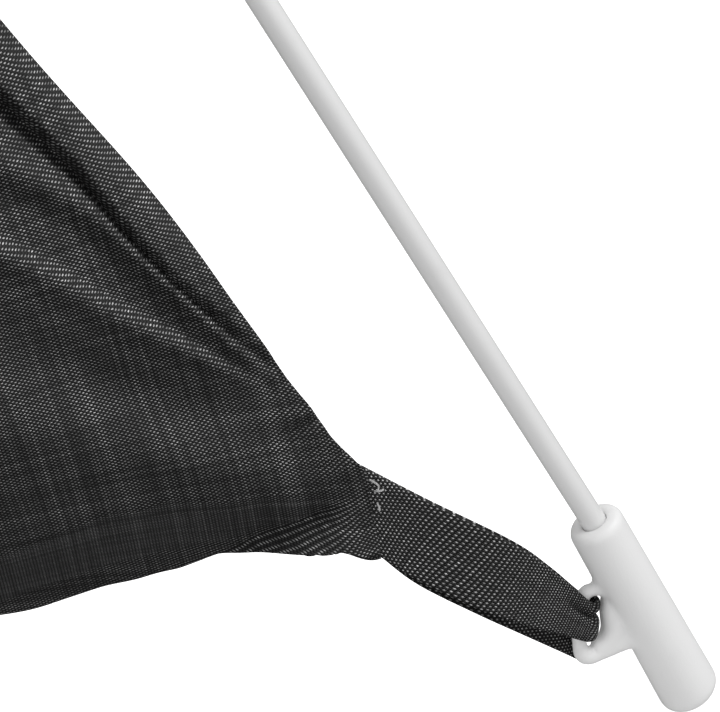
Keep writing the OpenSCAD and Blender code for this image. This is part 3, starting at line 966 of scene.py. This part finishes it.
    def curl(self, x: float, z: float) -> float:
        """Return how far the cloth curls under, inwards, above the lower hem."""
        start = along(self.curl_line, x / MM) * MM
        turn = along(self.turn_line, x / MM, False) * MM
        depth = max(0.0, start - max(z, turn)) * self.curl_slope
        back = max(0.0, turn - z) * 0.6
        return -(depth - back) * smooth(0.0, 16 * MM, self.corner_x - x)

    def surface(self, u: float, v: float) -> tuple[Vector, float]:
        """Return the point of the cloth's middle at shares u and v, and the fold's lift."""
        z = self.height(u, v)
        x = u * self.edge_x(z)
        lift = self.folds(x, z)
        spot = Vector((x, self.out(u, z) + self.curl(x, z), z))
        return spot + self.normal * lift, lift

    def point(self, u: float, v: float) -> Vector:
        """Return the point of the cloth's middle at shares u and v."""
        return self.surface(u, v)[0]


@dataclass
class SidePanel:
    """One half of a side panel, sewn to its other half down the middle."""
    leg: int
    shape: PanelShape
    thickness: float = 0.6 * MM
    hem: float = 8 * MM
    fullness: float = 1.12
    across: int = 200
    along: int = 110
    bend_end: Vector = Vector((316 * MM, 0.36, 100 * MM))
    bend_slope: float = math.radians(22)
    bend_length: float = 0.13

    def build(self, finishes: Finishes) -> None:
        """Make the cloth and its seams."""
        wall, side = PANEL_OF_LEG[self.leg]
        name = f"side_panel_{wall}_{side.value}"
        turn = LAYOUT.corner_frame(self.leg)
        mesh = bmesh.new()

        def place(u: float, v: float) -> Placed:
            """Put one point of the cloth in place, finer towards the side edge."""
            u = 1 - (1 - u) ** 1.25
            spot, lift = self.shape.surface(u, v)
            up = spot.z - 0.45 * lift + 0.2 * abs(spot.y)
            return turn @ spot, (1.09 * spot.x + 0.17 * up, 1.06 * up + 0.32 * spot.x)

        lay_sheet(mesh, self.across, self.along, place)
        bmesh.ops.remove_doubles(mesh, verts=mesh.verts, dist=1e-7)
        area = sum(face.calc_area() for face in mesh.faces)
        cloth = make_piece(name, mesh, finishes.cloth)
        give_thickness(cloth, self.thickness)
        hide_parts(f"side_panel_{wall}")
        seams = self.seams(name, turn, finishes)
        for piece in (cloth, seams):
            self.bend(piece)
        report(cloth, f"{area:.4f} m2 of cloth")

    def bend(self, piece: Piece) -> None:
        """Bake a piece of the panel's placement into its mesh."""
        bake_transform(piece)

    def seams(self, name: str, turn: Matrix, finishes: Finishes) -> Piece:
        """Sew a row along the top hem and a row down the middle seam."""
        mesh = bmesh.new()
        lift = self.thickness / 2 + 0.1 * MM

        def row(points: list[tuple[float, float]], pitch: float) -> None:
            """Sew along points that are given by their shares of the panel."""
            spots = [turn @ (self.shape.point(u, v) + self.shape.normal * lift)
                     for u, v in points]
            for a, b in zip(spots, spots[1:]):
                lay_stitches(mesh, a, b, pitch, 0.22 * MM)

        steps = 40
        row([(n / steps, 0.965) for n in range(steps)], 3.4 * MM)
        row([(0.012, n / steps) for n in range(steps + 1)], 3.4 * MM)
        seams = make_piece(f"{name}_seams", mesh, finishes.black_thread)
        report(seams, "hem and seam stitches")
        return seams


# ---- webbing at the feet

# Bends of each loose thread end, as (along, up) in a leg's wall frame, in millimetres
THREAD_ENDS: tuple[Run, ...] = (
    ((40.6, 117.8), (39.9, 117.0), (39.5, 115.6), (39.7, 114.6)),
    ((39.5, 115.0), (40.3, 114.4), (41.2, 114.4), (40.2, 113.8)),
    ((41.2, 114.4), (40.2, 114.1), (39.4, 113.7), (39.1, 113.2)),
    ((41.3, 124.6), (41.2, 123.8), (41.0, 123.2), (40.8, 122.6)),
    ((42.3, 132.0), (42.3, 131.3), (42.1, 130.6), (42.0, 129.9)),
    ((42.2, 111.2), (42.5, 110.5), (42.7, 109.7), (42.8, 109.0)))


@dataclass
class Webbing:
    """The webbing that is sewn to a panel's corner and goes round a foot's eye."""
    leg: int
    shape: PanelShape
    width: float = 22.5 * MM
    thickness: float = 1.2 * MM
    lap: float = 11 * MM
    slack: float = 0.3 * MM
    top_run: Run = ((12.1, 49.8), (15.0, 62.3), (19.3, 75.5),
                                                (31, 100.5))
    low_run: Run = ((18.2, 40.9), (23.2, 48), (30, 57.5),
                                                (37.2, 69), (45, 85.5))
    back_run: Run = ((20.3, 29.8), (24, 37.8), (30.2, 50.5),
                                                 (37, 64.5), (45, 82.5))

    def __post_init__(self) -> None:
        """Work out the webbing's ends in the leg's wall frame, as (along, up)."""
        self.corner_low = self.on_wall(self.shape.corner_x, self.shape.corner_height)
        self.corner_top = self.on_wall(self.shape.corner_x, self.shape.strap_height)
        low, top = LAYOUT.eye_corners
        bar = (top - low).normalized()
        self.run = (self.corner_low + self.corner_top) / 2 - (low + top) / 2
        self.inward = Vector((-bar.y, bar.x))
        self.fold = LAYOUT.eye_radius + self.slack + self.thickness / 2 - 0.4 * MM

    def on_wall(self, x: float, z: float) -> Vector:
        """Turn a place on the wall into distances from the leg and up the leg."""
        spot = LAYOUT.corner_frame(self.leg) @ Vector((x, LAYOUT.leg_line(z), z))
        local = LAYOUT.wall_frame(self.leg).inverted() @ spot
        return Vector((local.x, local.z))

    def station(self, share: float, face: int) -> tuple[Vector, Vector, float]:
        """Return the webbing's low edge, top edge and depth at a share of its run.

        Args:
            share: 0 at the eye and 1 at the panel's edge.
            face: -1 for the outer layer and 1 for the inner one.

        Returns:
            The two edges as (along, up), and the depth inwards from the wall.
        """
        beyond = max(0.0, share - 1) * self.run
        share = min(share, 1.0)
        top = through([Vector(p) * MM for p in self.top_run] + [self.corner_top], share)
        low = through([Vector(p) * MM for p in self.low_run] + [self.corner_low], share)
        if face > 0:
            back = through([Vector(p) * MM for p in self.back_run] + [self.corner_low], share)
            low = low.lerp(back, smooth(0.0, 0.05, share))
        low, top = low + beyond, top + beyond
        lap_depth = self.thickness * (0.8 if face < 0 else 1.9) + self.slack
        depth = mix(face * self.fold, lap_depth, smooth(0.2, 0.85, share))
        return low, top, depth

    def build(self, finishes: Finishes) -> None:
        """Make the webbing as one ribbon round the eye, with its bunching and the ends of its
        sewing thread.
        """
        wall, side = PANEL_OF_LEG[self.leg]
        frame_now = LAYOUT.wall_frame(self.leg)
        length = self.run.length
        lap_share = 1 + self.lap / length
        turns, straight = 10, 44
        fold = self.fold
        stations = [(mix(lap_share, 0.0, n / straight), -1, None) for n in range(straight)]
        stations += [(0.0, 0, math.pi * n / turns) for n in range(turns + 1)]
        stations += [(mix(0.0, lap_share, (n + 1) / straight), 1, None)
                     for n in range(straight)]
        count = len(stations) - 1
        reach = [0.0]
        for (a, _, before), (b, _, after) in zip(stations, stations[1:]):
            straight_on = before is None or after is None
            step = abs(a - b) * length if straight_on else fold * math.pi / turns
            reach.append(reach[-1] + step)

        def place(i_share: float, t: float) -> Placed:
            """Put one point of the ribbon in place; t runs from the low to the top edge."""
            i = round(i_share * count)
            share, face, turned = stations[i]
            low, top, depth = self.station(share, face or -1)
            spot = low.lerp(top, t)
            bunch = 1 - smooth(0.0, 0.26, share)
            notch = math.exp(-((t - 0.64) / 0.1) ** 2)
            lobe = 0.8 * MM * (1 - 1.9 * notch - 0.8 * abs(2 * t - 1) ** 5)
            if turned is None:
                depth += face * bunch * lobe
            else:
                spot += self.inward * ((fold + lobe) * math.sin(turned))
                depth = -(fold + lobe) * math.cos(turned)
            at = Vector((spot.x, depth, spot.y))
            skew = (t - 0.5) * (top - low).dot(self.run.normalized()) * (face or -1)
            return frame_now @ at, ((t - 0.5) * self.width, reach[i] + skew)

        mesh = bmesh.new()
        lay_sheet(mesh, count, 20, place)
        ribbon = make_piece(f"webbing_{wall}_{side.value}", mesh, finishes.webbing)
        give_thickness(ribbon, self.thickness, 1)
        hand_over(ribbon, f"leg_{self.leg}", "webbing round the eye",
                  f"strap_{wall}_{side.value}")
        self.thread_ends(wall, side, frame_now, finishes)

    def thread_ends(self, wall: int, side: Side, frame_now: Matrix,
                    finishes: Finishes) -> None:
        """Leave the ends of the white thread that sews the webbing to the panel."""
        mesh = bmesh.new()
        for end in THREAD_ENDS:
            turns = [Vector(place) * MM for place in end]
            path = []
            for n in range(9):
                spot = bezier(*turns, n / 8)
                lift = (1.0 + 0.9 * math.sin(math.pi * n / 8)) * MM
                path.append(frame_now @ Vector((spot.x, -lift, spot.y)))
            lay_tube(mesh, path, 0.24 * MM, 6)
        ends_piece = make_piece(f"thread_ends_{wall}_{side.value}", mesh, finishes.thread)
        hand_over(ends_piece, f"leg_{self.leg}", "ends of the sewing thread")


# ---- webbing on the ring

@dataclass
class RingLoops:
    """Webbing loops that hang both panels from the ring tube."""
    width: float = 20 * MM
    thickness: float = 1.2 * MM
    per_side: int = 5
    first: float = 11.25
    clear: float = 0.3 * MM
    tail: float = 30 * MM
    half: float = 1.35 * MM

    def profile(self) -> list[tuple[float, float]]:
        """Return one loop's run about the tube's middle, as (outwards, up)."""
        size = LAYOUT.tube_radius + self.clear + self.thickness / 2
        half = self.half
        start = math.asin(half / size)
        side = [(-half, -mix(self.tail, size * 1.35, n / 8)) for n in range(9)]
        bottom = -math.pi / 2
        turn = arc((0, 0), size, bottom - start - 0.35, bottom - TURN + start + 0.35, 36)
        return side + turn + [(-x, z) for x, z in reversed(side)]

    def build(self, finishes: Finishes) -> None:
        """Make the loops and the stitches that close them."""
        mesh, sewn = bmesh.new(), bmesh.new()
        high, low, pitch = -14 * MM, -27 * MM, 2.6 * MM
        run = self.profile()
        reach = reaches(run)
        step = (90 - 2 * self.first) / (self.per_side - 1)
        for wall in (1, 2):
            for n in range(self.per_side):
                azimuth = math.radians(45 + 180 * wall + self.first + step * n)

                def at(x: float, z: float, t: float) -> Vector:
                    """Return a point of the loop at a share t of its width."""
                    turn = azimuth + (t - 0.5) * self.width / LAYOUT.ring_radius
                    return on_circle(LAYOUT.ring_radius + x, turn, LAYOUT.ring_height + z)

                def place(share: float, t: float) -> Placed:
                    """Put one point of the loop in place."""
                    i = round(share * (len(run) - 1))
                    return at(*run[i], t), ((t - 0.5) * self.width, reach[i])

                lay_sheet(mesh, len(run) - 1, 8, place)
                for face in (-1, 1):
                    x = face * (self.half + self.thickness / 2 + 0.1 * MM)
                    for z in (high, low):
                        lay_stitches(sewn, at(x, z, 0.12), at(x, z, 0.88), pitch, 0.3 * MM)
                    for t in (0.12, 0.88):
                        lay_stitches(sewn, at(x, high, t), at(x, low, 1 - t), pitch)
        loops = make_piece("panel_webbing", mesh, finishes.webbing)
        give_thickness(loops, self.thickness)
        hand_over(loops, "frame", "panel hangers", "panel_loops")
        stitches = make_piece("panel_webbing_stitches", sewn, finishes.black_thread)
        hand_over(stitches, "frame", "stitches of the hangers")


# ---- net

@dataclass
class Net:
    """The knotted round net, its folded band and its webbing tabs."""
    inset: float = 38 * MM
    band: float = 14 * MM
    pitch: float = 22 * MM
    cord: float = 0.85 * MM
    band_half: float = 1.95 * MM
    hooks: int = 24
    bar: float = 21.3 * MM
    bow: float = 0.35 * MM
    knot: tuple[float, float, float] = (2.1 * MM, 1.6 * MM, 1.25 * MM)
    band_layer: float = 0.7 * MM
    tab_width: float = 10 * MM
    tab_half: float = 3.0 * MM
    tab_layer: float = 1.1 * MM

    @property
    def radius(self) -> float:
        """Radius of the band's outer edge."""
        return LAYOUT.ring_radius - self.inset

    def cords(self, finishes: Finishes) -> None:
        """Stretch the cords both ways and knot them where they cross."""
        mesh = bmesh.new()
        edge = self.radius - 5 * MM
        reach = int((edge - 4 * MM) / self.pitch)
        height = LAYOUT.ring_height
        for n in range(-reach, reach + 1):
            off = n * self.pitch
            half = math.sqrt(edge ** 2 - off ** 2)
            steps = max(2, round(2 * half / self.pitch) * 3)
            for way in (0, 1):
                path = []
                for i in range(steps + 1):
                    s = mix(-half, half, i / steps)
                    bow = self.bow * math.cos(math.pi * s / self.pitch + math.pi * (n + way))
                    spot = (s, off) if way else (off, s)
                    path.append(Vector((*spot, height + bow)))
                lay_tube(mesh, path, self.cord, 6)
        for i in range(-reach, reach + 1):
            for j in range(-reach, reach + 1):
                x, y = i * self.pitch, j * self.pitch
                if math.hypot(x, y) < edge - 6 * MM:
                    turn = Matrix.Rotation(math.radians(45 if (i + j) % 2 else -45), 4, "Z")
                    bmesh.ops.create_icosphere(
                        mesh, subdivisions=1, radius=1.0,
                        matrix=Matrix.Translation((x, y, height)) @ turn
                        @ Matrix.Diagonal((*self.knot, 1)))
        net = make_piece("net_cords", mesh, finishes.cord)
        hand_over(net, "frame", "knotted net", "round_net")

    def edge_band(self, finishes: Finishes) -> None:
        """Fold the band over the net's edge and sew it in two rows."""
        inner, outer, half = self.radius - self.band, self.radius, self.band_half - 0.4 * MM
        around = arc((outer - half, 0), half, math.pi / 2, -math.pi / 2, 8)
        run = [(inner, half), *around, (inner, -half)]
        steps = 240

        def place(share: float, t: float) -> Placed:
            """Put one point of the band in place, slightly drawn in at each tab."""
            turn = TURN * share
            i = min(len(run) - 1, round(t * (len(run) - 1)))
            r, z = run[i]
            pull = 0.5 * math.cos(self.hooks * (turn + math.pi / 4) + math.pi)
            r += pull * 0.5 * MM * (1 if r > inner else 0.4)
            z += 0.12 * MM * math.sin(97 * turn) * (1 if r > inner + MM else 0)
            return (on_circle(r, turn, LAYOUT.ring_height + z),
                    (turn * self.radius, i * 2 * MM))

        mesh = bmesh.new()
        lay_sheet(mesh, steps, len(run) - 1, place)
        bmesh.ops.remove_doubles(mesh, verts=mesh.verts, dist=1e-6)
        band = make_piece("net_edge_band", mesh, finishes.webbing)
        give_thickness(band, self.band_layer)
        hand_over(band, "frame", "edge of the net", "net_band")
        sewn = bmesh.new()
        for r in (inner + 2.2 * MM, outer - 3.4 * MM):
            for face in (-1, 1):
                z = LAYOUT.ring_height + face * (half + 0.45 * MM)
                for n in range(120):
                    a, b = (on_circle(r, TURN * (n + k) / 120, z) for k in (0, 1))
                    lay_stitches(sewn, a, b, 4.4 * MM, 0.28 * MM)
        stitches = make_piece("net_band_stitches", sewn, finishes.black_thread)
        hand_over(stitches, "frame", "stitches of the net's edge")

    def tabs(self, finishes: Finishes) -> None:
        """Loop a webbing tab from the band round each hook's bar."""
        half, wide = self.tab_half, self.tab_width
        inner = -(self.inset + self.band - 2 * MM)
        run = [(mix(inner, -self.bar, n / 10), half) for n in range(11)]
        run += arc((-self.bar, 0), half, math.pi / 2, -math.pi / 2, 12)[1:-1]
        run += [(x, -z) for x, z in reversed(run[:11])]
        reach = reaches(run)
        mesh, sewn = bmesh.new(), bmesh.new()
        for n in range(self.hooks):
            turn = Matrix.Rotation(math.radians(-45 + 360 / self.hooks * (n + 0.5)), 4, "Z")
            stand = turn @ Matrix.Translation((LAYOUT.ring_radius, 0, LAYOUT.ring_height))

            def place(share: float, t: float) -> Placed:
                """Put one point of the tab in place; it dips to the band where it is sewn."""
                i = round(share * (len(run) - 1))
                x, z = run[i]
                z *= mix(0.93, 1.0, smooth(-46 * MM, -34 * MM, x))
                return (stand @ Vector((x, (t - 0.5) * wide, z)),
                        ((t - 0.5) * wide, reach[i]))

            lay_sheet(mesh, len(run) - 1, 4, place)
            for face in (-1, 1):
                z = face * (half * 0.93 + 0.65 * MM)
                for x in (inner + 2 * MM, inner + 5 * MM, inner + 9 * MM):
                    lay_stitches(sewn, stand @ Vector((x, -0.4 * wide, z)),
                                 stand @ Vector((x, 0.4 * wide, z)), 2 * MM, 0.28 * MM)
        tabs = make_piece("webbing_tabs", mesh, finishes.webbing)
        give_thickness(tabs, self.tab_layer)
        hand_over(tabs, "frame", "tabs", "net_tabs")
        stitches = make_piece("tab_stitches", sewn, finishes.black_thread)
        hand_over(stitches, "frame", "stitches of the tabs")

    def build(self, finishes: Finishes) -> None:
        """Make the whole net."""
        self.cords(finishes)
        self.edge_band(finishes)
        self.tabs(finishes)


# ---- ball

@dataclass
class Ball:
    """The soft rubber ball, with a moulding seam and a valve."""
    radius: float = 45 * MM
    seam: float = 0.35 * MM
    seam_width: float = 0.9 * MM
    valve: float = 3.2 * MM
    valve_depth: float = 1.1 * MM

    def build(self, finishes: Finishes) -> None:
        """Make the ball where its solid is."""
        low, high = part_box("ball")
        middle = (low + high) / 2
        mesh = bmesh.new()
        bmesh.ops.create_uvsphere(mesh, u_segments=128, v_segments=96, radius=self.radius)
        for vert in mesh.verts:
            up = vert.co.normalized()
            groove = math.exp(-(up.z * self.radius / self.seam_width) ** 2)
            away = math.acos(max(-1.0, min(1.0, up.z))) * self.radius
            hole = 1 - smooth(0.6 * self.valve, self.valve, away)
            dent = self.seam * groove + self.valve_depth * hole
            vert.co -= up * dent
        bmesh.ops.create_cone(mesh, cap_ends=True, segments=24, radius1=1.9 * MM,
                              radius2=1.5 * MM, depth=2 * MM,
                              matrix=Matrix.Translation((0, 0, self.radius - 1.3 * MM)))
        mesh.transform(Matrix.Translation(middle) @ Matrix.Rotation(0.7, 4, "X")
                       @ Matrix.Rotation(0.5, 4, "Y"))
        ball = make_piece("rubber_ball", mesh, finishes.rubber)
        hand_over(ball, "ball", "ball with seam and valve", "ball")


# ---- rigid parts

def dress_solids(finishes: Finishes) -> None:
    """Give each rigid solid that stays in view its finish."""
    looks = {"ring_tube": finishes.tube, "ring_bracket": finishes.moulded,
             "leg_knuckle": finishes.moulded, "leg_rod": finishes.rod,
             "pivot_pin": finishes.steel, "net_hooks": finishes.moulded}
    for node, solid in frame["nodes"].items():
        for start, finish in looks.items():
            if node.startswith(start):
                solid.data.materials.clear()
                solid.data.materials.append(finish)
                LOG.info("%s: %s", node, finish.name)


def main() -> None:
    """Build the studio and every piece of the set, in order."""
    logging.basicConfig(level=logging.INFO, format="%(message)s")
    studio = Studio()
    studio.build()
    finishes = Finishes()
    dress_solids(finishes)
    for leg in LEG_NUMBERS:
        shape = PanelShape()
        Foot(leg).build(finishes)
        Webbing(leg, shape).build(finishes)
        SidePanel(leg, shape).build(finishes)
    RingLoops().build(finishes)
    Net().build(finishes)
    Ball().build(finishes)
    studio.light_cloth({finishes.cloth.name, finishes.webbing.name})


if __name__ == "__main__":
    main()
